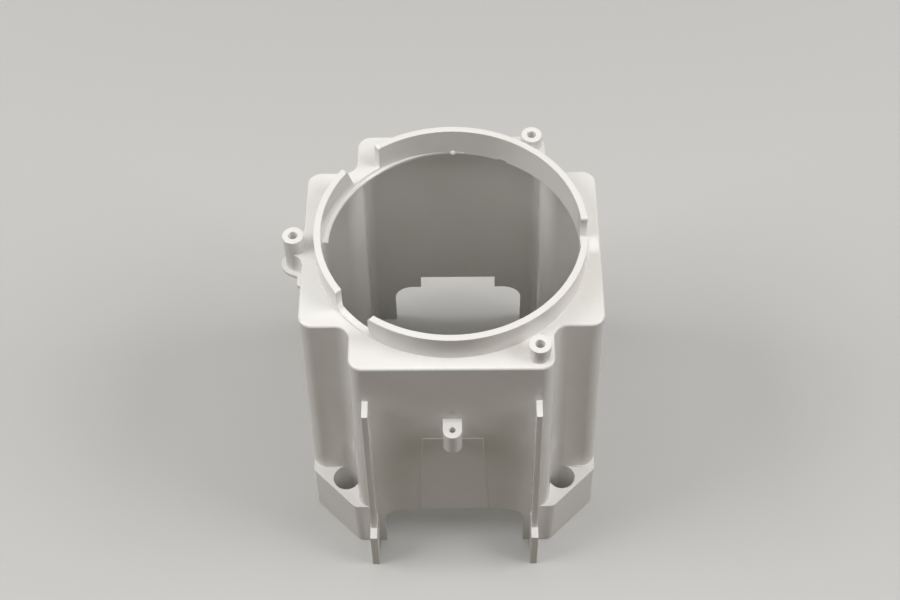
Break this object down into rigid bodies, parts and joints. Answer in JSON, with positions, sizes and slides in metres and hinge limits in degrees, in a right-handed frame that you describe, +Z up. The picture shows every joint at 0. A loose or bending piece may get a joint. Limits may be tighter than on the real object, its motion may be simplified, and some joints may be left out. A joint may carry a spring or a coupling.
{
  "type": "injection moulded plastic housing",
  "caption": "Moulded plastic housing with a cross plan, a round mouth with an interrupted collar, screw bosses and corner screw feet.",
  "frame": {"origin": "on the axis of the round mouth, level with the upper face of the top plate", "axes": "+Z up along the mouth's axis, -Y towards the front wall with the ribs and the screw lug, +X right seen from the front"},
  "size_m": [0.127, 0.1316, 0.139],
  "materials": {
    "gloss_white_plastic": "glossy moulded ABS, slightly warm white"
  },
  "bodies": {
    "root": {"housing": "gloss_white_plastic"}
  },
  "joints": []
}
